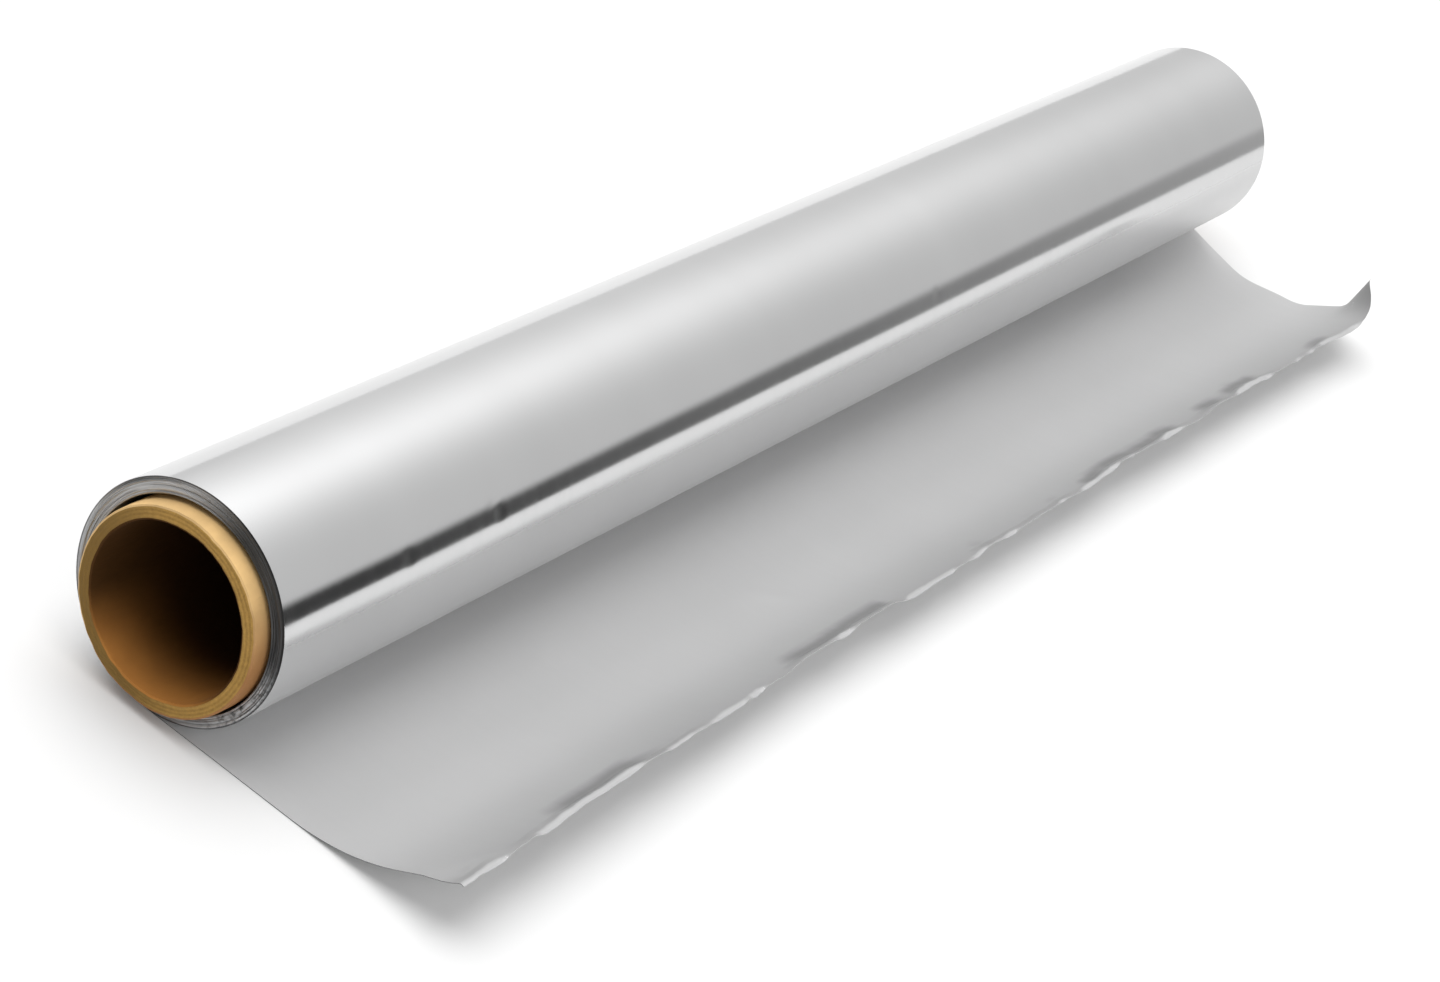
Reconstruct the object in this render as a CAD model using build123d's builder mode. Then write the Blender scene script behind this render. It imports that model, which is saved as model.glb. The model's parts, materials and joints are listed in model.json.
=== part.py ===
"""Aluminium foil roll: foil wound on a cardboard core, with its end drawn out over the table.

+X runs along the roll from the near end to the far end, the loose sheet lies towards -Y
and +Z is up.  The origin is on the table, under the middle of the winding.
"""
import os
from math import cos, exp, pi, radians

from build123d import *

# ---- the cardboard core ----
core_radius = 14.35
core_wall = 2.15
core_overhang_near = 2.7  # core standing out of the winding at each end
core_overhang_far = 2.0
core_rim_round = 0.3

# ---- the winding ----
foil_width = 300.0  # width of the foil, and so the length of the winding
winding_depth = 2.55  # foil on the core, on average round it
core_drop = 0.6  # the outer turns hang loose, so the core sits below their centre
flat_depth = 0.1  # how far the soft winding flattens where it rests

# ---- the sheet drawn off the winding ----
sheet_thickness = 0.3  # stands in for foil of 0.011 mm
flat_length = 26.0  # from under the axis, the part of the sheet that lies flat all along
lift_start = 0.5  # the sheet stays flat for this much more, away from the far corner
bend_length = 18.0  # bend from flat to the full lift, measured along the sheet
edge_reach = 24.3  # along the sheet, from the end of flat_length to the torn edge
edge_lift = 27.0  # degrees that the torn edge rises from the table

# ---- the corner at the near end ----
near_extra_reach = 2.9  # the sheet was torn off longer here, by this much
near_lift = 29.0  # degrees
near_fade = 60.0  # how far along the torn edge the corner is felt

# ---- the corner at the far end, curled up ----
far_extra_reach = 2.3
far_reach_fade = 14.0  # how far the longer tear is felt
far_lift = 70.0
far_lift_start = 6.5
far_bend_length = 14.0
far_fade = 10.0  # how far the curl is felt

# ---- places that follow ----
near_end = -foil_width / 2
far_end = foil_width / 2
winding_radius = core_radius + winding_depth
winding_axis = winding_radius - flat_depth  # height of the outer turn's centre
core_axis = winding_axis - core_drop
core_length = core_overhang_near + foil_width + core_overhang_far
bore_radius = core_radius - core_wall


def share(distance, fade):
    """1 at an end of the sheet, fading to 0 with the distance from it."""
    return exp(-((distance / fade) ** 2))


def torn_edge(x):
    """Start and length of the sheet's bend at x, its lift there, and its reach beyond the bend."""
    near = share(x - near_end, near_fade)
    far = share(far_end - x, far_fade)
    far_reach = share(far_end - x, far_reach_fade)
    reach = edge_reach + near_extra_reach * near + far_extra_reach * far_reach
    lift = edge_lift + (near_lift - edge_lift) * near + (far_lift - edge_lift) * far
    start = lift_start + (far_lift_start - lift_start) * far
    bend = bend_length + (far_bend_length - bend_length) * far
    return flat_length + start, bend, lift, reach - start - bend


# ---- core tube ----
with BuildPart() as core_tube:
    core_plane = Plane.YZ.offset(near_end - core_overhang_near)
    with BuildSketch(core_plane):
        with Locations((0, core_axis)):
            Circle(core_radius)
            Circle(bore_radius, mode=Mode.SUBTRACT)
    extrude(amount=core_length)
    rims = core_tube.edges().filter_by(GeomType.CIRCLE)
    fillet(rims, core_rim_round)

# ---- foil: the winding with its drawn-out sheet ----
# The lifted strip goes through sections that stand closer together towards its two ends.
gaps = 24
stations = [near_end * cos(pi * step / gaps) for step in range(gaps + 1)]

with BuildPart() as foil:
    with BuildSketch(Plane.YZ.offset(near_end)):
        with Locations((0, winding_axis)):
            Circle(winding_radius)
        with Locations((0, -winding_radius / 2)):
            Rectangle(2 * winding_radius, winding_radius, mode=Mode.SUBTRACT)
        with Locations((-flat_length / 2, sheet_thickness / 2)):
            Rectangle(flat_length, sheet_thickness)
        with Locations((0, core_axis)):
            Circle(core_radius, mode=Mode.SUBTRACT)
    extrude(amount=foil_width)

    for x in stations:
        start, bend, lift, straight = torn_edge(x)
        bend_radius = bend / radians(lift)
        with BuildSketch(Plane.YZ.offset(x)):
            with BuildLine():
                under = Line((-flat_length, 0), (-start, 0))
                under_bend = JernArc(under @ 1, under % 1, bend_radius, -lift)
                under_lift = Line(under_bend @ 1, under_bend @ 1 + straight * (under_bend % 1))
                top = Line((-flat_length, sheet_thickness), (-start, sheet_thickness))
                top_bend = JernArc(top @ 1, top % 1, bend_radius - sheet_thickness, -lift)
                top_lift = Line(top_bend @ 1, top_bend @ 1 + straight * (top_bend % 1))
                Line(under_lift @ 1, top_lift @ 1)
                Line(under @ 0, top @ 0)
            make_face()
    loft()

core_tube.part.label = "core_tube"
foil.part.label = "foil"

os.makedirs("parts", exist_ok=True)
export_step(core_tube.part, "parts/core_tube.step")
export_step(foil.part, "parts/foil.step")

for piece in (core_tube, foil):
    box = piece.part.bounding_box()
    print(piece.part.label, "solids", len(piece.part.solids()), "volume", round(piece.part.volume, 1))
    print("  box", box.min, box.max, "valid", piece.part.is_valid)
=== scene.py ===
import json
from math import atan2, cos, e, exp, hypot, pi, radians, sin, sqrt

import bpy
import numpy as np
from mathutils import Matrix, Vector, noise


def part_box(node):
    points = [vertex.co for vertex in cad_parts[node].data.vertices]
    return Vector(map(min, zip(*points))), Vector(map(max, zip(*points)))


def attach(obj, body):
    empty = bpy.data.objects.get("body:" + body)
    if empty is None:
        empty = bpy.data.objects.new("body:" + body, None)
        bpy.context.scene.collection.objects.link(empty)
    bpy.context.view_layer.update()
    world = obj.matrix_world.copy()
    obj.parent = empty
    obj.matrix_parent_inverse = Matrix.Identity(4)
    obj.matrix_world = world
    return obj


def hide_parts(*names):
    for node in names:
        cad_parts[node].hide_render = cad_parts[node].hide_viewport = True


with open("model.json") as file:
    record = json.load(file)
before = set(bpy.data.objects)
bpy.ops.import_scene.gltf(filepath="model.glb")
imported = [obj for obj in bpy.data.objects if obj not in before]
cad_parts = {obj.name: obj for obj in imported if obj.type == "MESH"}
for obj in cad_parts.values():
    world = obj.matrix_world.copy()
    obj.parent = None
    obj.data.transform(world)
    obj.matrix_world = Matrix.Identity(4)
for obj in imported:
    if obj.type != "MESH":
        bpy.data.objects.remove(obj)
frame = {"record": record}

bl_info = {
    "name": "Aluminium foil roll",
    "version": (1, 0, 0),
    "blender": (4, 5, 0),
    "location": "3D View > Sidebar > Foil roll",
    "description": "Makes a foil roll with a drawn-out sheet, its cardboard core and a plain stage",
    "category": "Object",
}

MM = 0.001
FOIL_LOW, FOIL_HIGH = (Vector(corner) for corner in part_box("foil"))
CORE_LOW, CORE_HIGH = (Vector(corner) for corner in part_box("core_tube"))
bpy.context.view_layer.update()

NEAR_END, FAR_END = FOIL_LOW.x, FOIL_HIGH.x
WINDING_RADIUS = FOIL_HIGH.y
WINDING_AXIS = FOIL_HIGH.z - WINDING_RADIUS
CORE_RADIUS = (CORE_HIGH.z - CORE_LOW.z) / 2
CORE_AXIS = (CORE_HIGH.z + CORE_LOW.z) / 2
BORE_RADIUS = frame["record"]["mounts"][0]["dims"]["r_mm"] * MM
BORE_CENTRE = CORE_AXIS + 0.2 * MM  # height of the hole in the winding, which is loose on the core

# Material slots of the two meshes
BRIGHT_SIDE, DULL_SIDE, TURN_EDGES = 0, 1, 2
BOARD, RIM, LINING = 0, 1, 2


# ------------------------------------------------------------------ sizes and colours

def length(name, description, default):
    return bpy.props.FloatProperty(
        name=name, description=description, default=default, min=0, unit="LENGTH", precision=5
    )


def angle(name, description, default):
    return bpy.props.FloatProperty(
        name=name, description=description, default=radians(default), subtype="ANGLE"
    )


def colour(name, description, default):
    return bpy.props.FloatVectorProperty(
        name=name, description=description, default=default, size=3, min=0, max=1, subtype="COLOR"
    )


def share(name, description, default):
    return bpy.props.FloatProperty(
        name=name, description=description, default=default, min=0, max=1, subtype="FACTOR"
    )


class SheetSettings(bpy.types.PropertyGroup):
    """Sizes of the winding's ends and of the sheet drawn off it."""

    thickness: length("Thickness", "Thickness the sheet is drawn with", 0.07 * MM)
    flat: length("Flat", "From under the axis to where the sheet lifts", 26 * MM)
    bend: length("Bend", "Length of the bend up to the full lift", 18 * MM)
    reach: length("Reach", "From the end of the flat part to the torn edge", 24.3 * MM)
    edge_lift: angle("Edge lift", "Rise of the torn edge along the middle", 27)
    near_lift: angle("Near lift", "Rise of the corner at the near end", 29)
    near_reach: length("Near reach", "Extra reach of the corner at the near end", 2.9 * MM)
    near_fade: length("Near fade", "How far along the edge the near corner is felt", 60 * MM)
    far_lift: angle("Far lift", "Rise of the corner at the far end", 31)
    far_reach: length("Far reach", "Extra reach of the corner at the far end", 2.3 * MM)
    far_reach_fade: length("Far reach fade", "How far along the edge that extra reach is felt", 14 * MM)
    far_fade: length("Far fade", "How far along the edge the far corner is felt", 12 * MM)
    tip_fade: length("Tip fade", "How far along the edge the very tip is felt", 5 * MM)
    tip_turn: angle("Tip turn", "Further turn of the very tip of the far corner", 46)
    far_inset: length("Far inset", "How far the side edge at the far end draws in", 2.8 * MM)
    peel: length("Peel", "How high the sheet hangs under the winding's far end", 2.0 * MM)
    peel_length: length("Peel length", "How far from the far end the sheet hangs", 34 * MM)
    fold_turn: angle("Fold turn", "Turn of the soft fold across the near corner", 7)
    wander: length("Wander", "How far the torn edge strays from straight", 0.9 * MM)
    ripple: length("Ripple", "Height of the soft ripples in the sheet", 0.16 * MM)
    bore: length("Bore", "Radius of the hole the core sits in", CORE_RADIUS + 0.5 * MM)
    turns: bpy.props.IntProperty(
        name="Turns", description="Turns shown on each end face", default=8, min=2
    )
    ridge: length("Ridge", "Half thickness of the edge of a turn", 0.055 * MM)
    uneven: length("Uneven", "How far the edges of the turns stray", 0.16 * MM)
    tooth: length("Tooth", "Depth of the ragged teeth of the torn edge", 0.28 * MM)
    lip: length("Lip", "Width of the edge that is turned down here and there", 0.85 * MM)
    lip_turn: angle("Lip turn", "How far the edge is turned down at most", 42)
    curl: length("Curl", "Width of the band behind the lip that stands up steeper", 1.25 * MM)
    curl_turn: angle("Curl turn", "How much steeper that band stands at most", 26)


class FinishSettings(bpy.types.PropertyGroup):
    """Colours of the foil and the core."""

    bright: colour("Bright side", "Outside of the winding", (0.70, 0.701, 0.703))
    dull: colour("Dull side", "Upper side of the sheet", (0.46, 0.46, 0.462))
    edge: colour("Turn edges", "End faces of the winding", (0.42, 0.425, 0.43))
    board: colour("Board", "Outside of the core", (0.70, 0.46, 0.20))
    rim: colour("Rim", "Cut end of the core", (0.43, 0.25, 0.065))
    lining: colour("Lining", "Inner ply of the core", (0.37, 0.155, 0.036))


class StageSettings(bpy.types.PropertyGroup):
    """Camera and light."""

    lens: bpy.props.FloatProperty(
        name="Lens", description="Focal length", default=95.2, unit="CAMERA"
    )
    heading: angle("Heading", "Way the camera looks, from +Y towards +X", 68.62)
    pitch: angle("Pitch", "How far the camera looks down", 29.8)
    tilt: angle("Tilt", "How far the camera leans over", 24.14)
    camera_place: bpy.props.FloatVectorProperty(
        name="Camera place", description="Where the camera stands", default=(-0.50003, -0.19796, 0.29206),
        subtype="TRANSLATION", precision=4,
    )
    floor_front: length("Floor front", "From under the roll's axis to the floor's front edge", 0.25)
    floor_glow: share("Floor glow", "Light the floor gives off towards the lens", 0.05)
    lamp: bpy.props.FloatProperty(
        name="Lamp", description="Strength of the soft overhead lamp", default=2.6
    )
    lamp_height: angle("Lamp height", "How high the lamp stands over the horizon", 76)
    lamp_spread: angle("Lamp spread", "Angle the lamp covers", 62)


# ------------------------------------------------------------------ shader and node maths

class Sock:
    """A node socket that takes part in Python expressions; each step adds a Math node."""

    def __init__(self, tree, socket):
        self.tree = tree
        self.socket = socket

    def math(self, operation, *others):
        node = self.tree.nodes.new("ShaderNodeMath")
        node.operation = operation
        self.tree.feed(node, 0, self)
        for place, other in enumerate(others, 1):
            self.tree.feed(node, place, other)
        return Sock(self.tree, node.outputs[0])

    def flipped(self, operation, other):
        node = self.tree.nodes.new("ShaderNodeMath")
        node.operation = operation
        self.tree.feed(node, 0, other)
        self.tree.feed(node, 1, self)
        return Sock(self.tree, node.outputs[0])

    def __add__(self, other):
        return self.math("ADD", other)

    __radd__ = __add__

    def __mul__(self, other):
        return self.math("MULTIPLY", other)

    __rmul__ = __mul__

    def __sub__(self, other):
        return self.math("SUBTRACT", other)

    def __rsub__(self, other):
        return self.flipped("SUBTRACT", other)

    def __truediv__(self, other):
        return self.math("DIVIDE", other)

    def __rtruediv__(self, other):
        return self.flipped("DIVIDE", other)

    def __pow__(self, other):
        return self.math("POWER", other)

    def __rpow__(self, other):
        return self.flipped("POWER", other)

    def ramp(self, low, high):
        """0 below low, 1 above high and even between them."""
        return self.tree.node(
            "ShaderNodeMapRange", 0, None, {"Value": self, "From Min": low, "From Max": high}
        )

    def step(self, low, high):
        """0 below low, 1 above high and smooth between them."""
        return self.tree.node(
            "ShaderNodeMapRange", 0,
            {"interpolation_type": "SMOOTHSTEP"},
            {"Value": self, "From Min": low, "From Max": high},
        )


class Tree:
    """Adds nodes to a node tree."""

    def __init__(self, node_tree):
        self.nodes = node_tree.nodes
        self.links = node_tree.links
        self.nodes.clear()

    def feed(self, node, place, value):
        target = node.inputs[place]
        if isinstance(value, Sock):
            self.links.new(value.socket, target)
        else:
            target.default_value = value

    def node(self, kind, output=0, settings=None, inputs=None):
        """A node of a kind, its settings made first, then its sockets fed with values or links."""
        node = self.nodes.new(kind)
        for name, value in (settings or {}).items():
            setattr(node, name, value)
        for place, value in (inputs or {}).items():
            self.feed(node, place, value)
        if output is None:
            return node
        return Sock(self, node.outputs[output])

    def split(self, vector):
        node = self.node("ShaderNodeSeparateXYZ", None, None, {0: vector})
        return [Sock(self, out) for out in node.outputs]

    def join(self, x, y, z):
        return self.node("ShaderNodeCombineXYZ", 0, None, {0: x, 1: y, 2: z})

    def speckle(self, vector, scale, detail=2.0, roughness=0.5):
        """Noise from 0 to 1."""
        return self.node(
            "ShaderNodeTexNoise", 0, None,
            {"Vector": vector, "Scale": scale, "Detail": detail, "Roughness": roughness},
        )

    def mix(self, factor, first, second):
        """A colour between two others."""
        node = self.nodes.new("ShaderNodeMix")
        node.data_type = "RGBA"
        self.feed(node, 0, factor)
        for place, value in ((6, first), (7, second)):
            self.feed(node, place, value if isinstance(value, Sock) else (*value, 1))
        return Sock(self, node.outputs[2])


def shaded(base, factor):
    """A colour made lighter or darker."""
    return tuple(min(1.0, channel * factor) for channel in base)


def new_material(name, build):
    material = bpy.data.materials.new(name)
    material.use_nodes = True
    tree = Tree(material.node_tree)
    shader = tree.node("ShaderNodeBsdfPrincipled", None)
    tree.node("ShaderNodeOutputMaterial", None, None, {"Surface": Sock(tree, shader.outputs[0])})
    place = tree.node("ShaderNodeTexCoord", "Object")
    build(tree, shader, place)
    return material


def bump(tree, shader, height, depth):
    """Raises the surface by height times depth, in metres."""
    normal = tree.node(
        "ShaderNodeBump", 0, None, {"Strength": 1.0, "Distance": depth, "Height": height}
    )
    tree.feed(shader, "Normal", normal)


def bright_foil(tone):
    """Rolled outside of the foil: a clear reflection with faint streaks along the strip."""

    def build(tree, shader, place):
        x, y, z = tree.split(place)
        streaks = tree.speckle(tree.join(x * 900, y * 14, z * 14), 1.0, 3.0)
        broad = tree.speckle(tree.join(x * 60, y * 9, z * 9), 1.0, 2.0)
        dust = tree.speckle(place, 2500.0, 1.0)
        shader.inputs["Metallic"].default_value = 1.0
        tree.feed(shader, "Base Color", tree.mix(broad, shaded(tone, 0.96), shaded(tone, 1.03)))
        # rubbed a little duller where it faces the sheet
        rubbed = ((z - WINDING_AXIS) / WINDING_RADIUS).step(0.46, 0.05)
        tree.feed(shader, "Roughness", 0.07 + 0.05 * streaks + 0.03 * broad + 0.32 * rubbed)
        bump(tree, shader, streaks * 0.7 + dust * 0.3, 0.0016 * MM)

    return new_material("foil_bright_side", build)


def dull_foil(tone):
    """Inside of the foil, which the sheet shows: soft, with fine draw lines and crinkles, painted light
    near the winding and painted shade towards the torn edge.
    """

    def build(tree, shader, place):
        x, y, z = tree.split(place)
        lines = tree.speckle(tree.join(x * 700, y * 20, z * 20), 1.0, 3.0)
        crinkle = tree.speckle(place, 130.0, 4.0)
        cloud = tree.speckle(place, 28.0, 2.0)
        painted_edge_shade = tree.node("ShaderNodeAttribute", "Fac", {"attribute_name": "painted_edge_shade"})
        shader.inputs["Metallic"].default_value = 0.5
        clear = tree.mix(cloud, shaded(tone, 0.95), shaded(tone, 1.05))
        # painted light: lighter near the winding, lifting the shade the winding casts on the sheet
        clear = tree.mix(y.step(-30 * MM, -6 * MM), clear, shaded(tone, 1.45))
        # painted shade from the attribute darkens the colour behind the torn edge
        tree.feed(shader, "Base Color", tree.mix(painted_edge_shade * 0.8, clear, shaded(tone, 0.3)))
        tree.feed(shader, "Roughness", 0.60 + 0.06 * lines + 0.05 * cloud)
        bump(tree, shader, lines * 0.05 + crinkle, 0.045 * MM)

    return new_material("foil_dull_side", build)


def turn_edges(tone):
    """Cut edges of the turns: fine rings, with painted shade on the front side, broken up in patches
    lower down, and a painted shadow line at the outermost turn.
    """

    def build(tree, shader, place):
        x, y, z = tree.split(place)
        height = z - WINDING_AXIS
        radius = (y * y + height * height) ** 0.5
        rings = tree.speckle(tree.join(radius * 9000, y * 60, height * 60), 1.0, 3.0, 0.7)
        coarse = tree.speckle(tree.join(radius * 2600, y * 40, height * 40), 1.0, 2.0)
        shade_breakup = tree.speckle(place, 900.0, 3.0, 0.6)
        # painted shade on the front side of the end face, broken up in noisy patches lower down
        painted_front_shade = ((height * 0.35 - y) / radius).step(0.0, 0.75)
        foot = ((0.0 - height) / radius).step(-0.15, 0.3)
        dark = painted_front_shade * (1.0 - foot * shade_breakup.step(0.3, 0.55))
        # painted shadow: a dark line along the outermost turn
        last = radius.step(WINDING_RADIUS - 0.32 * MM, WINDING_RADIUS - 0.2 * MM)
        light = (0.75 + 0.55 * rings.step(0.35, 0.7)) * (1.0 - 0.85 * dark) * (1.0 - 0.75 * last)
        shader.inputs["Metallic"].default_value = 0.9
        tree.feed(shader, "Base Color", tree.mix(light / 1.4, (0.012, 0.012, 0.012), shaded(tone, 1.4)))
        tree.feed(shader, "Roughness", 0.34 + 0.2 * coarse)
        bump(tree, shader, rings * 0.6 + coarse, 0.12 * MM)

    return new_material("foil_turn_edges", build)


def core_board(tone):
    """Smooth kraft board with pressed fibres, with painted shade, darker and more orange, on the lower
    side towards the sheet.
    """

    def build(tree, shader, place):
        x, y, z = tree.split(place)
        fibres = tree.speckle(tree.join(x * 500, y * 1500, z * 1500), 1.0, 3.0, 0.6)
        blotches = tree.speckle(place, 160.0, 3.0)
        wear = tree.speckle(place, 420.0, 2.0)
        colour_mix = tree.mix(blotches.step(0.3, 0.75), shaded(tone, 0.84), shaded(tone, 1.12))
        height = z - CORE_AXIS
        # painted shade: darker and more orange on the lower front side, towards the sheet
        low = ((y * -0.8 - height) / CORE_RADIUS).step(-0.3, 0.9) * 0.9
        colour_mix = tree.mix(low, colour_mix, (tone[0] * 0.46, tone[1] * 0.30, tone[2] * 0.22))
        flecks = fibres.step(0.62, 0.8) * 0.3
        tree.feed(shader, "Base Color", tree.mix(flecks, colour_mix, shaded(tone, 0.62)))
        shader.inputs["Specular IOR Level"].default_value = 0.3
        tree.feed(shader, "Roughness", 0.62 + 0.25 * wear)
        bump(tree, shader, fibres + blotches * 0.5, 0.06 * MM)

    return new_material("core_board", build)


def core_rim(tone):
    """Sawn end of the core, with the plies of board showing as rings and painted shade towards its back
    and bottom.
    """

    def build(tree, shader, place):
        x, y, z = tree.split(place)
        height = z - CORE_AXIS
        radius = (y * y + height * height) ** 0.5
        plies = (radius * (2 * pi / (0.55 * MM))).math("SINE") * 0.5 + 0.5
        grit = tree.speckle(place, 2200.0, 3.0, 0.65)
        # painted shade: darker towards the back and the bottom of the rim
        painted_back_shade = ((y - height * 0.5) / radius).step(-0.2, 0.8)
        shader.inputs["Specular IOR Level"].default_value = 0.2
        light = (plies * 0.2 + grit * 0.6) * (1.0 - painted_back_shade * 0.9)
        tree.feed(shader, "Base Color", tree.mix(light, shaded(tone, 0.45), shaded(tone, 1.5)))
        tree.feed(shader, "Roughness", 0.8 + 0.15 * grit)
        bump(tree, shader, grit + plies * 0.4, 0.12 * MM)

    return new_material("core_rim", build)


def core_lining(tone):
    """Inner ply of the core: darker, coarser board, with painted light near the mouths and painted shade
    deeper in.
    """

    def build(tree, shader, place):
        x, y, z = tree.split(place)
        fibres = tree.speckle(tree.join(x * 420, y * 1200, z * 1200), 1.0, 3.0, 0.6)
        blotches = tree.speckle(place, 220.0, 3.0)
        # painted light at the mouths, most of all along the bottom, and painted shade farther in
        mouth = (x.math("ABSOLUTE") - CORE_HIGH.x).step(-17 * MM, 1 * MM)
        bottom = ((CORE_AXIS - z) / BORE_RADIUS).step(0.3, 1.0)
        shade = mouth * (0.04 + 0.96 * bottom) * (0.7 + 0.3 * blotches) + fibres * 0.05
        shader.inputs["Specular IOR Level"].default_value = 0.12
        tree.feed(shader, "Base Color", tree.mix(shade, shaded(tone, 0.10), shaded(tone, 1.3)))
        tree.feed(shader, "Roughness", 0.8 + 0.15 * fibres)
        bump(tree, shader, fibres + blotches, 0.08 * MM)

    return new_material("core_lining", build)


# ------------------------------------------------------------------ mesh helpers

def ease(t):
    """0 to 1 with a smooth start and end."""
    t = min(1.0, max(0.0, t))
    return t * t * (3 - 2 * t)


def ramp(value, start, width):
    """0 up to start, 1 from start + width on, and even between them; takes arrays."""
    return np.clip((value - start) / width, 0.0, 1.0)


def fade(distance, reach):
    """1 at a distance of nothing, fading smoothly to 0."""
    return exp(-((distance / reach) ** 2))


def wobble(x, y, z, seed):
    """Smooth noise from -1 to 1."""
    return noise.noise(Vector((x, y, z + 17.3 * seed)))


def finish_piece(name, vertices, faces, materials, face_materials, node):
    mesh = bpy.data.meshes.new(name)
    mesh.from_pydata(vertices, [], faces)
    for material in materials:
        mesh.materials.append(material)
    mesh.polygons.foreach_set("material_index", face_materials)
    mesh.polygons.foreach_set("use_smooth", [True] * len(faces))
    mesh.validate()
    mesh.set_sharp_from_angle(angle=radians(40))
    piece = bpy.data.objects.new(name, mesh)
    bpy.context.scene.collection.objects.link(piece)
    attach(piece, "root")
    if node:
        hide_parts(node)
    return piece


# ------------------------------------------------------------------ the foil

# Dents in the outer turn: place along the roll, turn round it, depth
NICKS = (
    (NEAR_END + 26.7 * MM, radians(118.6), 0.055 * MM),
    (NEAR_END + 47.4 * MM, radians(119.5), 0.06 * MM),
    (NEAR_END + 46.0 * MM, radians(126.0), 0.05 * MM),
    (NEAR_END + 171.0 * MM, radians(123.0), 0.03 * MM),
)
# Raised marks in the sheet: place along the roll, way out from under the axis, height
MARKS = (
    (NEAR_END + 107.5 * MM, 33.4 * MM, 0.16 * MM),
    (NEAR_END + 45.5 * MM, 34.5 * MM, 0.08 * MM),
)

# Steps of the foil's mesh
COLUMNS = 330
ROUND_STEPS = 165
FOOT_STEPS = 5
SHEET_STEPS = 48
LIP_STEPS = 15
FACE_RINGS = 12
PATH_STEP = 0.1 * MM
LIP_ZONE = 3.6 * MM  # along the torn edge, where the steps are finer


def sheet_reach(settings, x):
    """Length of the sheet at x, from under the axis to its torn edge."""
    near_gap, far_gap = x - NEAR_END, FAR_END - x
    near = fade(near_gap, settings.near_fade)
    far = fade(far_gap, settings.far_fade)
    teeth = 0.55 * wobble(x * 330, 0, 0, 1) + 0.45 * wobble(x * 900, 0, 0, 2)
    wander = settings.wander * wobble(x * 17, 0, 0, 4) * (1 - near) * (1 - far)
    longer = settings.near_reach * near + settings.far_reach * fade(far_gap, settings.far_reach_fade)
    return settings.flat + settings.reach + longer + settings.tooth * teeth + wander


def torn_edge(settings, x, s, reach):
    """Slope added along s, a band that stands up, then slivers that turn down, and the painted shade
    behind the torn edge.
    """
    near_gap, far_gap = x - NEAR_END, FAR_END - x
    along = near_gap / (FAR_END - NEAR_END)
    off_tip = 1 - fade(far_gap, settings.tip_fade)
    strength = wobble(x * 72, 1.7, 0, 3) + 0.45 * wobble(x * 230, 0, 0, 5)
    strength += 0.3 * fade(near_gap, settings.near_fade) - 0.1 * along
    sliver = float(ramp(strength, -0.02, 0.12))
    band = wobble(x * 38, 2.9, 0, 9) + 0.5 * wobble(x * 120, 6.1, 0, 13) + 0.5 - 0.35 * along
    band = float(ramp(band, 0.0, 0.45)) * off_tip

    breadth = 0.5 + 0.4 * float(ramp(strength, 0.0, 0.4)) + 0.35 * wobble(x * 190, 4.2, 0, 6)
    lip = settings.lip * breadth
    curl = settings.curl * (1.0 + 0.9 * wobble(x * 70, 5.3, 0, 14))
    turned_up = settings.curl_turn * band
    turned_down = turned_up + settings.lip_turn * sliver * off_tip
    on_lip = ramp(s, reach - lip - 0.1 * MM, 0.25 * MM)
    slope = turned_up * ramp(s, reach - lip - curl, 0.35 * MM) - turned_down * on_lip

    # painted shade: a dark streak behind the lip and a broad darkening over the last 22 mm towards the
    # torn edge, where the lifted edge falls in shade; the turned-down lip is left unshaded
    behind_lip = s - reach + lip + 1.4 * curl
    painted_edge_shading = 0.95 * band * np.exp(-((behind_lip / (1.9 * MM)) ** 2))
    painted_edge_shading = np.maximum(painted_edge_shading, 0.55 * ramp(s, reach - 22 * MM, 22 * MM) ** 2)
    return slope, painted_edge_shading * (1 - sliver * on_lip)


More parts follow.
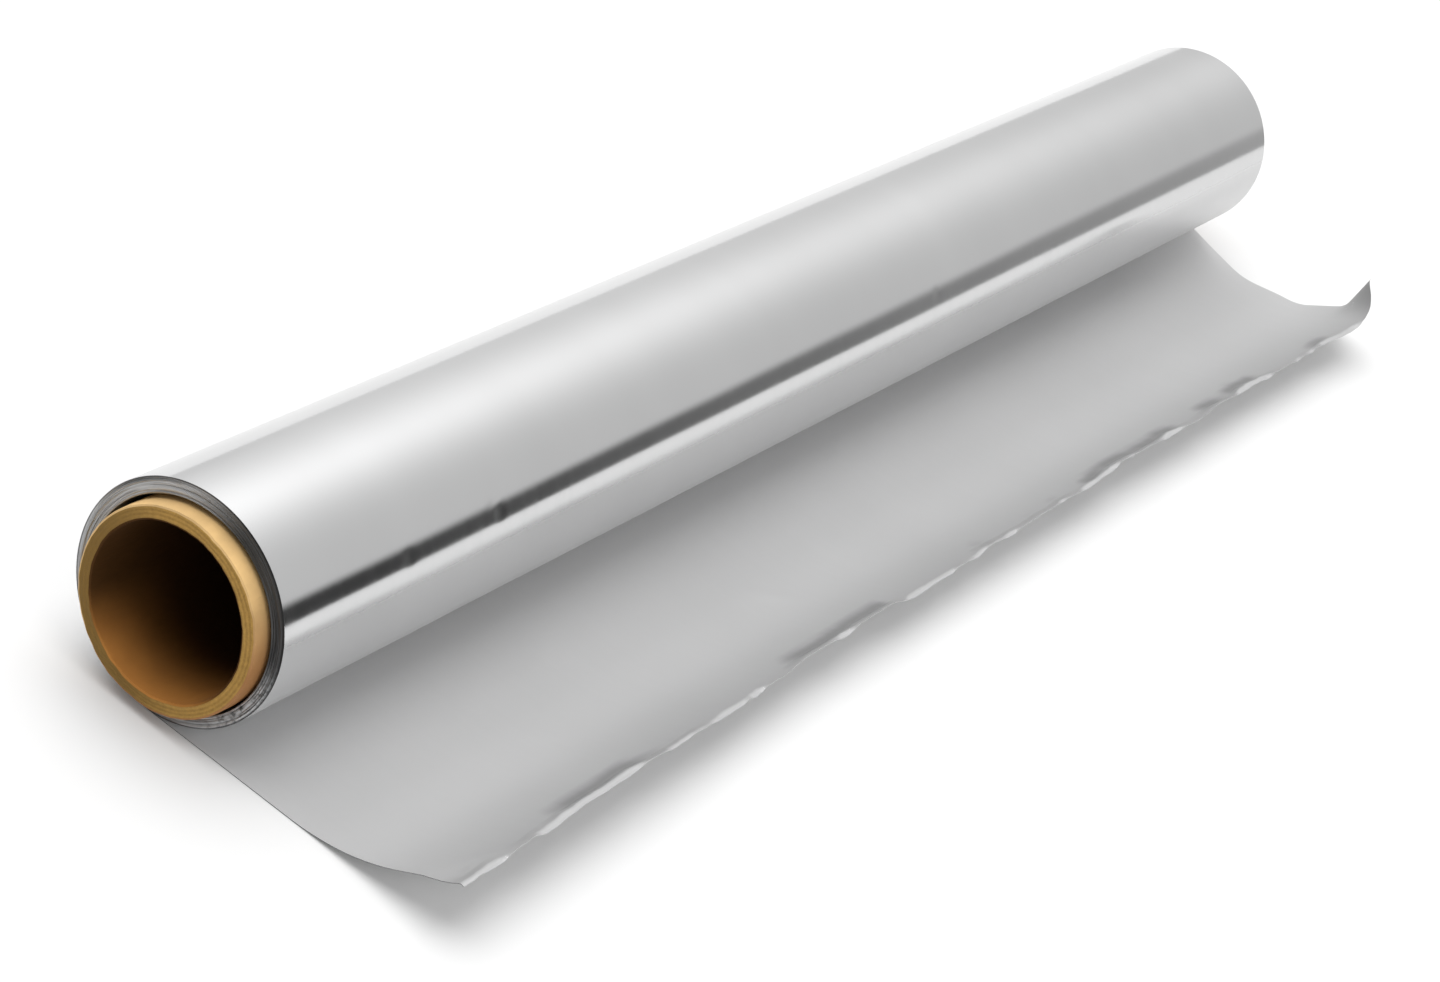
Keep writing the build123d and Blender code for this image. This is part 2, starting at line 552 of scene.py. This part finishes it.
class Section:
    """The sheet in the plane at x, along s, the way from under the axis to the torn edge."""

    def __init__(self, settings, x):
        self.settings = settings
        self.x = x
        self.reach = sheet_reach(settings, x)
        self.s = np.arange(0, self.reach + PATH_STEP, PATH_STEP)
        near_gap, far_gap = x - NEAR_END, FAR_END - x
        slope, self.painted_edge_shading = torn_edge(settings, x, self.s, self.reach)
        self.slopes = self.lift(near_gap, far_gap) + slope

        step = np.diff(self.s, prepend=0.0)
        self.ys = -np.cumsum(np.cos(self.slopes) * step)
        self.zs = np.cumsum(np.sin(self.slopes) * step)
        # near its far end the winding lets go of the sheet, which hangs before it meets the table
        hang = settings.peel * ease((settings.peel_length - far_gap) / settings.peel_length)
        self.zs += hang * np.exp(-(((self.s - 7.5 * MM) / (6.5 * MM)) ** 2)) * ramp(self.s, 0, 4 * MM)
        drawn_in = settings.far_inset * fade(far_gap, 16 * MM)
        self.xs = x - drawn_in * np.exp(-(((self.s - 24.5 * MM) / (6 * MM)) ** 2))

    def lift(self, near_gap, far_gap):
        """Slope of the sheet along s, without its torn edge."""
        settings, s = self.settings, self.s
        near = fade(near_gap, settings.near_fade)
        far = fade(far_gap, settings.far_fade)
        edge_lift = settings.edge_lift + (settings.near_lift - settings.edge_lift) * near
        slope = (1 - far) * edge_lift * ramp(s, settings.flat, settings.bend)
        slope += far * settings.far_lift * ramp(s, settings.flat + 7 * MM, 4.5 * MM)
        tip = fade(far_gap, settings.tip_fade)
        slope += tip * settings.tip_turn * ramp(s, settings.flat + 17.5 * MM, 3 * MM)
        # a soft fold cuts across the corner at the near end
        start = settings.flat + 20 * MM + 0.46 * near_gap
        fold = ramp(s, start, 1.2 * MM) * (1 - ramp(s, start + 3 * MM, 1.5 * MM))
        return slope - settings.fold_turn * fade(near_gap, 14 * MM) * fold

    def point(self, s, lift=0.0):
        """Point at s on the underside, or lifted off it."""
        slope = float(np.interp(s, self.s, self.slopes))
        height = ripple_height(self.settings, self.x, s) + lift
        along = float(np.interp(s, self.s, self.xs))
        y = float(np.interp(s, self.s, self.ys)) + height * sin(slope)
        z = float(np.interp(s, self.s, self.zs)) + height * cos(slope)
        return along, y, z

    def contact(self):
        """How far along s the winding still lies on the sheet."""
        low, high = 0.0, 14 * MM
        for _ in range(20):
            middle = (low + high) / 2
            _, y, z = self.point(middle, self.settings.thickness)
            inside = hypot(y, z - WINDING_AXIS) < outer_radius(self.x, turn_of(y, z))
            low, high = (middle, high) if inside else (low, middle)
        return high


def ripple_height(settings, x, s):
    """Height of the soft ripples and the marks at s along the sheet."""
    loose = ease((s - 4 * MM) / (10 * MM))
    soft = 0.5 + 0.5 * wobble(x * 20, s * 26, 0, 7)
    fine = 0.5 + 0.5 * wobble(x * 75, s * 60, 0, 8)
    ridge = max(0.0, 1 - abs(wobble(x * 30 + s * 20, s * 10, 0, 10)) * 8)
    marks = sum(
        height * exp(-(((x - at) / (2.6 * MM)) ** 2) - ((s - out - 0.9 * (x - at)) / (1.3 * MM)) ** 2)
        for at, out, height in MARKS
    )
    return settings.ripple * loose * (0.8 * soft + 0.16 * fine + 0.22 * ridge) + marks


def turn_of(y, z):
    """Turn round the winding of a point: 0 is the bottom, growing towards the front."""
    return atan2(-y, WINDING_AXIS - z)


def outer_radius(x, turn):
    """Radius of the outer turn, with the slight unevenness of a soft winding and its nicks."""
    broad = wobble(x * 14, cos(turn) * 1.3, sin(turn) * 1.3, 11)
    fine = wobble(x * 60, cos(turn) * 2.4, sin(turn) * 2.4, 12)
    nicks = sum(
        depth * exp(-(((x - at) / (0.6 * MM)) ** 2) - ((turn - around) / 0.05) ** 2)
        for at, around, depth in NICKS
    )
    return WINDING_RADIUS - 0.06 * MM + 0.03 * MM * broad + 0.014 * MM * fine - nicks


def round_point(x, turn):
    """Place (y, z) of the outer turn, flattened where it rests on the table."""
    r = outer_radius(x, turn)
    return -r * sin(turn), max(0.0, WINDING_AXIS - r * cos(turn))


def foil_loop(settings, x):
    """Closed loop of points round the winding and the sheet at x, with the painted shade on them."""
    section = Section(settings, x)
    thickness = settings.thickness
    contact = section.contact()
    _, y, z = section.point(contact, thickness)
    first = turn_of(y, z)
    turns = [first + (2 * pi - first) * k / ROUND_STEPS for k in range(1, ROUND_STEPS)]
    winding = [(x, y, z)] + [(x, *round_point(x, turn)) for turn in turns]
    foot = [section.point(contact * k / FOOT_STEPS) for k in range(FOOT_STEPS)]

    bare = section.reach - LIP_ZONE
    main_steps = SHEET_STEPS - LIP_STEPS
    run = [contact + (bare - contact) * k / main_steps for k in range(main_steps + 1)]
    run += [bare + LIP_ZONE * k / LIP_STEPS for k in range(1, LIP_STEPS + 1)]
    under = [section.point(s) for s in run]
    over = [section.point(s, thickness) for s in reversed(run[1:])]
    loop_painted_shading = [float(np.interp(s, section.s, section.painted_edge_shading)) for s in run]
    painted_edge_shading = [0.0] * (ROUND_STEPS + FOOT_STEPS) + loop_painted_shading + loop_painted_shading[:0:-1]
    return winding + foot + under + over, painted_edge_shading


def add_end_face(parts, base, size, outward, bore):
    """Closes one end: the foot, the sheet's thin side and rings from the outer turn to the bore.

    base is the first point of the end's loop, and the face's last ring of points is returned.
    """
    vertices, faces, tints = parts

    def add(face):
        faces.append(face if outward else tuple(reversed(face)))
        tints.append(TURN_EDGES)

    x = vertices[base][0]
    first = turn_of(*vertices[base][1:])
    arc = [base + ROUND_STEPS]
    for k in range(1, FOOT_STEPS):
        y, z = round_point(x, first * k / FOOT_STEPS)
        floor = vertices[base + ROUND_STEPS + k][2] + 0.004 * MM * k
        arc.append(len(vertices))
        vertices.append((x, y, max(z, floor)))

    # the strip between the underside of the foot and the arc of the winding over it
    chain = arc + [base]
    under = [base + ROUND_STEPS + k for k in range(FOOT_STEPS + 1)]
    add((under[0], chain[1], under[1]))
    for k in range(1, FOOT_STEPS):
        add((under[k], chain[k], chain[k + 1], under[k + 1]))
    # the thin side of the sheet
    top = [base] + [base + size - 1 - k for k in range(SHEET_STEPS)]
    low = [base + ROUND_STEPS + FOOT_STEPS + k for k in range(SHEET_STEPS + 1)]
    for k in range(SHEET_STEPS):
        add((low[k], top[k], top[k + 1], low[k + 1]))

    # the rings, every other one standing a little proud
    side = -1 if outward else 1
    outer = list(range(base, base + ROUND_STEPS)) + arc
    previous = outer
    for step in range(1, FACE_RINGS + 1):
        part = step / FACE_RINGS
        current = []
        for index in outer:
            _, y, z = vertices[index]
            turn = turn_of(y, z)
            bore_y, bore_z = -bore * sin(turn), BORE_CENTRE - bore * cos(turn)
            proud = 0.16 * MM * wobble(part * 9, cos(turn) * 1.4, sin(turn) * 1.4, 21 + side)
            proud = max(-0.1 * MM, proud + 0.1 * MM * (step % 2)) * (part < 1)
            current.append(len(vertices))
            vertices.append((x + side * proud, y + (bore_y - y) * part, z + (bore_z - z) * part))
        for k in range(len(outer)):
            after = (k + 1) % len(outer)
            add((previous[after], previous[k], current[k], current[after]))
        previous = current
    return previous


def make_foil(settings, finish):
    """One closed mesh: the winding with its bore, and the sheet drawn off it."""
    vertices, faces, tints, painted_edge_shading = parts = [], [], [], []
    for column in range(COLUMNS + 1):
        loop, loop_painted_shading = foil_loop(settings, NEAR_END + (FAR_END - NEAR_END) * column / COLUMNS)
        vertices.extend(loop)
        painted_edge_shading.extend(loop_painted_shading)

    size = len(loop)
    over_start = ROUND_STEPS + FOOT_STEPS + SHEET_STEPS + 1
    for column in range(COLUMNS):
        for k in range(size):
            a, b = column * size + k, column * size + (k + 1) % size
            faces.append((a, b, b + size, a + size))
            tints.append(DULL_SIDE if k >= over_start else BRIGHT_SIDE)

    near_bore = add_end_face(parts[:3], 0, size, True, settings.bore)
    far_bore = add_end_face(parts[:3], COLUMNS * size, size, False, settings.bore)
    for k in range(len(near_bore)):
        after = (k + 1) % len(near_bore)
        faces.append((near_bore[after], near_bore[k], far_bore[k], far_bore[after]))
        tints.append(TURN_EDGES)

    materials = [bright_foil(finish.bright), dull_foil(finish.dull), turn_edges(finish.edge)]
    piece = finish_piece("foil_roll", vertices, faces, materials, tints, "foil")
    painted_edge_shading += [0.0] * (len(vertices) - len(painted_edge_shading))
    piece.data.attributes.new("painted_edge_shade", "FLOAT", "POINT").data.foreach_set("value", painted_edge_shading)
    return piece


def turn_spiral(group):
    """Fills a node group: a fine ridge winds outwards on both end faces of the winding."""
    tree = Tree(group)
    given = tree.node("NodeGroupInput", None)
    take = {socket.name: Sock(tree, socket) for socket in given.outputs}

    spiral = tree.node(
        "GeometryNodeCurveSpiral", 0, None,
        {
            "Resolution": 140, "Rotations": take["Turns"], "Height": 0.0,
            "Start Radius": take["Inner radius"], "End Radius": take["Outer radius"],
        },
    )
    place = tree.node("GeometryNodeInputPosition")
    x, y, z = tree.split(place)
    way_out = tree.node("GeometryNodeSplineParameter", "Factor")
    rough = tree.node(
        "ShaderNodeTexNoise", 0, {"noise_dimensions": "4D"},
        {"Vector": place, "W": take["Seed"], "Scale": 260.0, "Detail": 3.0},
    )
    stray = (rough - 0.5) * take["Uneven"]
    # the spiral is made lying down; it is stood up here, and its inner turns sink with the core
    upright = tree.join(stray, x + stray * 0.5, y - take["Drop"] * (1.0 - way_out))
    stood = tree.node("GeometryNodeSetPosition", 0, None, {"Geometry": spiral, "Position": upright})
    profile = tree.node(
        "GeometryNodeCurvePrimitiveCircle", 0, None, {"Resolution": 5, "Radius": take["Ridge"]}
    )
    ridge = tree.node(
        "GeometryNodeCurveToMesh", 0, None,
        {"Curve": stood, "Profile Curve": profile, "Fill Caps": True},
    )
    ends = tree.node(
        "GeometryNodeMeshLine", 0, {"mode": "OFFSET"},
        {
            "Count": 2, "Start Location": (NEAR_END, 0, WINDING_AXIS),
            "Offset": tree.join(take["Width"], 0.0, 0.0),
        },
    )
    both = tree.node("GeometryNodeInstanceOnPoints", 0, None, {"Points": ends, "Instance": ridge})
    real = tree.node("GeometryNodeRealizeInstances", 0, None, {"Geometry": both})
    painted = tree.node(
        "GeometryNodeSetMaterial", 0, None, {"Geometry": real, "Material": take["Material"]}
    )
    tree.node("NodeGroupOutput", None, None, {0: painted})


def make_turns(settings, finish):
    """The edges of the turns on both end faces, from a node group."""
    group = bpy.data.node_groups.new("turn_spiral", "GeometryNodeTree")
    new_socket = group.interface.new_socket
    new_socket(name="Geometry", in_out="OUTPUT", socket_type="NodeSocketGeometry")
    new_socket(name="Geometry", in_out="INPUT", socket_type="NodeSocketGeometry")
    wanted = (
        ("Turns", "Float", float(settings.turns)),
        ("Inner radius", "Float", settings.bore + 0.12 * MM),
        ("Outer radius", "Float", WINDING_RADIUS - 0.2 * MM),
        ("Ridge", "Float", settings.ridge),
        ("Uneven", "Float", settings.uneven),
        ("Drop", "Float", WINDING_AXIS - BORE_CENTRE),
        ("Width", "Float", FAR_END - NEAR_END),
        ("Seed", "Float", 4.0),
        ("Material", "Material", turn_edges(finish.edge)),
    )
    values = {}
    for name, kind, value in wanted:
        socket = new_socket(name=name, in_out="INPUT", socket_type="NodeSocket" + kind)
        values[socket.identifier] = value
    turn_spiral(group)

    piece = bpy.data.objects.new("turn_edges", bpy.data.meshes.new("turn_edges_start"))
    bpy.context.scene.collection.objects.link(piece)
    modifier = piece.modifiers.new("turn_spiral", "NODES")
    modifier.node_group = group
    for identifier, value in values.items():
        modifier[identifier] = value
    depsgraph = bpy.context.evaluated_depsgraph_get()
    mesh = bpy.data.meshes.new_from_object(piece.evaluated_get(depsgraph))
    piece.modifiers.remove(modifier)
    piece.data = mesh
    mesh.name = "turn_edges"
    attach(piece, "root")
    return piece


# ------------------------------------------------------------------ the core

# Where the core's outside has its rings of points, as distances from either end
CORE_STOPS = [stop * MM for stop in (0.0, 0.15, 0.4, 0.8, 1.4, 2.2, 3.2, 5, 9, 16, 30, 50, 80, 115)]
CORE_AROUND = 200
RIM_STEPS = 7
RIM_ROUND = 0.28 * MM


def core_section():
    """Points (x, radius, material) of the tube's wall: outside, far rim, bore and near rim."""
    middle = (CORE_LOW.x + CORE_HIGH.x) / 2
    outside = [(middle, CORE_RADIUS, BOARD)]
    for stop in reversed(CORE_STOPS):
        left = 1 - min(1.0, stop / RIM_ROUND)
        radius = CORE_RADIUS - RIM_ROUND * (1 - sqrt(1 - left**2))
        outside.insert(0, (CORE_LOW.x + stop, radius, BOARD))
        outside.append((CORE_HIGH.x - stop, radius, BOARD))
    wall = CORE_RADIUS - BORE_RADIUS
    face = [RIM_ROUND + (wall - 2 * RIM_ROUND) * k / RIM_STEPS for k in range(1, RIM_STEPS)]
    far_rim = [(CORE_HIGH.x, CORE_RADIUS - depth, RIM) for depth in face]
    near_rim = [(CORE_LOW.x, BORE_RADIUS + depth, RIM) for depth in face]
    inside = [(x, BORE_RADIUS + (CORE_RADIUS - radius), LINING) for x, radius, _ in reversed(outside)]
    return outside + far_rim + inside + near_rim


def core_point(x, r, turn):
    """A point of the tube; its ends are uneven and slightly out of round."""
    from_near, from_far = x - CORE_LOW.x, CORE_HIGH.x - x
    near_rim = exp(-min(from_near, from_far) / (1.5 * MM))
    side, inwards = (1, 1) if from_near < from_far else (2, -1)
    ragged = wobble(cos(turn) * 2.5, sin(turn) * 2.5, r * 700, 31 + side)
    fine = wobble(cos(turn) * 11, sin(turn) * 11, r * 900, 33 + side)
    cut_back = (0.204 * (ragged + 0.6) + 0.12 * (fine + 0.6)) * MM * near_rim
    out = 0.09 * MM * wobble(cos(turn) * 1.6, sin(turn) * 1.6, 0, 35 + side) * near_rim
    if r > (CORE_RADIUS + BORE_RADIUS) / 2:
        r += out - 0.06 * MM * near_rim
    else:
        r += out * 0.6
    return x + max(0.0, cut_back) * inwards, -r * sin(turn), CORE_AXIS - r * cos(turn)


def make_core(finish):
    """Board tube with a roughly cut rim."""
    section = core_section()
    count = len(section)
    vertices, faces, tints = [], [], []
    for step in range(CORE_AROUND):
        turn = 2 * pi * step / CORE_AROUND
        vertices.extend(core_point(x, r, turn) for x, r, _ in section)
    for step in range(CORE_AROUND):
        here, beside = step * count, (step + 1) % CORE_AROUND * count
        for k in range(count):
            after = (k + 1) % count
            faces.append((here + k, beside + k, beside + after, here + after))
            kinds = (section[k][2], section[after][2])
            tints.append(RIM if RIM in kinds else min(kinds))

    materials = [core_board(finish.board), core_rim(finish.rim), core_lining(finish.lining)]
    return finish_piece("core", vertices, faces, materials, tints, "core_tube")


# ------------------------------------------------------------------ stage

def make_floor(settings):
    """Pale floor; the lens sees it a little brighter than it is, so it runs out into white."""
    low, high = Vector((-1.4, -settings.floor_front, 0)), Vector((2.2, 1.6, 0))
    corners = [(low.x, low.y), (high.x, low.y), (high.x, high.y), (low.x, high.y)]
    mesh = bpy.data.meshes.new("floor")
    mesh.from_pydata([(x, y, -0.02 * MM) for x, y in corners], [], [(0, 1, 2, 3)])
    floor = bpy.data.objects.new("floor", mesh)
    bpy.context.scene.collection.objects.link(floor)

    material = bpy.data.materials.new("floor_white")
    material.use_nodes = True
    tree = Tree(material.node_tree)
    seen = tree.node("ShaderNodeLightPath", "Is Camera Ray")
    matt = tree.node("ShaderNodeBsdfDiffuse", 0, None, {"Color": (0.70, 0.70, 0.70, 1)})
    glow = tree.node(
        "ShaderNodeEmission", 0, None, {"Color": (1, 1, 1, 1), "Strength": seen * settings.floor_glow}
    )
    both = tree.node("ShaderNodeAddShader", 0, None, {0: matt, 1: glow})
    tree.node("ShaderNodeOutputMaterial", None, None, {"Surface": both})
    mesh.materials.append(material)


def soft_box(way, toward, strength, narrowness):
    """Light from a soft box that is centred on a direction and falls off around it."""
    x, y, z = way
    match = x * toward[0] + y * toward[1] + z * toward[2]
    return strength * e ** ((match - 1.0) * narrowness)


def make_world():
    """Studio sky that the foil mirrors; the lens sees it white."""
    world = bpy.data.worlds.new("studio")
    world.use_nodes = True
    bpy.context.scene.world = world
    tree = Tree(world.node_tree)
    x, y, z = way = tree.split(tree.node("ShaderNodeTexCoord", "Generated"))
    # an even wall, brighter behind the roll, dim behind the camera and dim low behind the roll
    wall = (0.64 + 0.18 * y.step(0.35, 0.8)) * (0.40 + 0.60 * x.step(-0.6, 0.3))
    wall = wall * (1.0 - 0.45 * (1.0 - z.step(0.05, 0.4)) * y.step(0.62, 0.85))
    # boxes: high behind the roll's right shoulder, over the torn edge, and low in front of it
    shoulder = soft_box(way, (0.4394, 0.3687, 0.8192), 1.3, 8.4)
    over_edge = soft_box(way, (-0.242, -0.664, 0.707), 0.8, 8.0)
    front = soft_box(way, (-0.25, -0.92, 0.30), 0.8, 6.0)
    overhead = 1.0 - 0.75 * z.step(0.68, 0.88)
    # a dark gap low in the wall, ahead of the far end, makes the dark line along the winding
    flat = (x * x + y * y + 0.0001) ** 0.5
    toward_gap = (x * 0.5736 - y * 0.8192) / flat
    gap = 0.93 * toward_gap.ramp(0.83, 0.971) * (1.0 - z.step(0.09, 0.19))
    level = ((wall + shoulder) * overhead + over_edge + front) * (1.0 - gap)
    lens = tree.node("ShaderNodeLightPath", "Is Camera Ray")
    level = level * (1.0 - lens) + lens
    sky = tree.node("ShaderNodeBackground", 0, None, {"Color": (1, 1, 1, 1), "Strength": level})
    tree.node("ShaderNodeOutputWorld", None, None, {"Surface": sky})


def make_lamp(settings):
    """One large soft lamp overhead, leaning behind the roll."""
    lamp = bpy.data.lights.new("overhead_lamp", "SUN")
    lamp.energy = settings.lamp
    lamp.angle = settings.lamp_spread
    holder = bpy.data.objects.new("overhead_lamp", lamp)
    toward = Vector((0, cos(settings.lamp_height), sin(settings.lamp_height)))
    holder.rotation_euler = toward.to_track_quat("Z", "Y").to_euler()
    bpy.context.scene.collection.objects.link(holder)


def make_camera(settings):
    """Camera past the near end, looking along the roll and down at it."""
    camera = bpy.data.cameras.new("camera")
    camera.lens = settings.lens
    camera.sensor_width = 36
    camera.clip_start = 0.01
    heading, pitch, tilt = settings.heading, settings.pitch, settings.tilt
    ahead = Vector((sin(heading) * cos(pitch), cos(heading) * cos(pitch), -sin(pitch)))
    right = Vector((cos(heading), -sin(heading), 0))
    up = right.cross(ahead)
    leaning_right = right * cos(tilt) + up * sin(tilt)
    leaning_up = up * cos(tilt) - right * sin(tilt)
    turned = Matrix((leaning_right, leaning_up, -ahead)).transposed()
    holder = bpy.data.objects.new("camera", camera)
    holder.matrix_world = Matrix.Translation(settings.camera_place) @ turned.to_4x4()
    bpy.context.scene.collection.objects.link(holder)
    bpy.context.scene.camera = holder


def make_stage(settings):
    """Floor, sky, lamp and camera."""
    bpy.context.scene.view_settings.view_transform = "Standard"
    make_floor(settings)
    make_world()
    make_lamp(settings)
    make_camera(settings)


# ------------------------------------------------------------------ operators and panel

class FOILROLL_OT_foil(bpy.types.Operator):
    """Make the winding and the sheet drawn off it"""

    bl_idname = "foilroll.foil"
    bl_label = "Foil"

    def execute(self, context):
        make_foil(context.scene.foil_sheet, context.scene.foil_finish)
        return {"FINISHED"}


class FOILROLL_OT_turns(bpy.types.Operator):
    """Make the edges of the turns on both end faces"""

    bl_idname = "foilroll.turns"
    bl_label = "Turn edges"

    def execute(self, context):
        make_turns(context.scene.foil_sheet, context.scene.foil_finish)
        return {"FINISHED"}


class FOILROLL_OT_core(bpy.types.Operator):
    """Make the cardboard core"""

    bl_idname = "foilroll.core"
    bl_label = "Core"

    def execute(self, context):
        make_core(context.scene.foil_finish)
        return {"FINISHED"}


class FOILROLL_OT_stage(bpy.types.Operator):
    """Make the floor, the light and the camera"""

    bl_idname = "foilroll.stage"
    bl_label = "Stage"

    def execute(self, context):
        make_stage(context.scene.foil_stage)
        return {"FINISHED"}


class FOILROLL_PT_panel(bpy.types.Panel):
    """Lists the sizes, the colours and what can be made"""

    bl_idname = "FOILROLL_PT_panel"
    bl_label = "Foil roll"
    bl_space_type = "VIEW_3D"
    bl_region_type = "UI"
    bl_category = "Foil roll"

    def draw(self, context):
        for group in (context.scene.foil_sheet, context.scene.foil_finish, context.scene.foil_stage):
            for name in group.__annotations__:
                self.layout.prop(group, name)
        for operator in OPERATORS:
            self.layout.operator(operator.bl_idname)


OPERATORS = (FOILROLL_OT_stage, FOILROLL_OT_foil, FOILROLL_OT_turns, FOILROLL_OT_core)
GROUPS = {"foil_sheet": SheetSettings, "foil_finish": FinishSettings, "foil_stage": StageSettings}
CLASSES = (*GROUPS.values(), *OPERATORS, FOILROLL_PT_panel)


def register():
    for item in CLASSES:
        bpy.utils.register_class(item)
    for name, group in GROUPS.items():
        setattr(bpy.types.Scene, name, bpy.props.PointerProperty(type=group))


def unregister():
    for name in GROUPS:
        delattr(bpy.types.Scene, name)
    for item in reversed(CLASSES):
        bpy.utils.unregister_class(item)


def main():
    register()
    bpy.ops.foilroll.stage()
    bpy.ops.foilroll.foil()
    bpy.ops.foilroll.turns()
    bpy.ops.foilroll.core()


if __name__ == "__main__":
    main()
